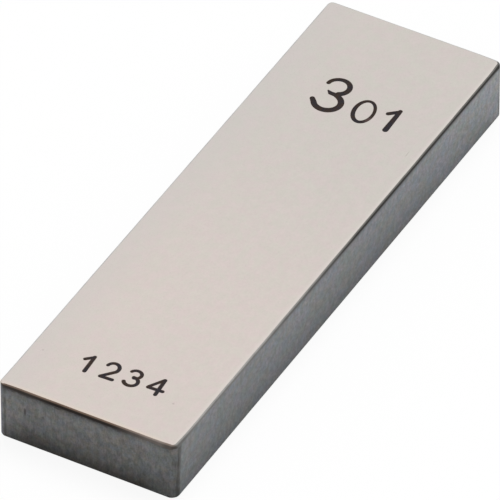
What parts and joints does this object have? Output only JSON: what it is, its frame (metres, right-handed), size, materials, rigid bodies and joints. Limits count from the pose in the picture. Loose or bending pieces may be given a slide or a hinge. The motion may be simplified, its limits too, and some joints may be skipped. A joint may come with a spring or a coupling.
{
  "type": "gauge block",
  "caption": "Flat rectangular steel gauge block with lapped measuring faces and finely rounded edges, for setting and checking lengths.",
  "frame": {"origin": "centre of the lower measuring face", "axes": "+Z out of the marked upper measuring face; +Y along the long side, towards the nominal length's end; +X along the short side, in the direction in which the marking reads"},
  "size_m": [0.0088, 0.0298, 0.003],
  "materials": {
    "lapped_steel": "hardened steel: measuring faces lapped to a soft mirror, side and end faces fine ground, edges stoned"
  },
  "bodies": {
    "root": {"gauge_block": "lapped_steel"}
  },
  "joints": []
}
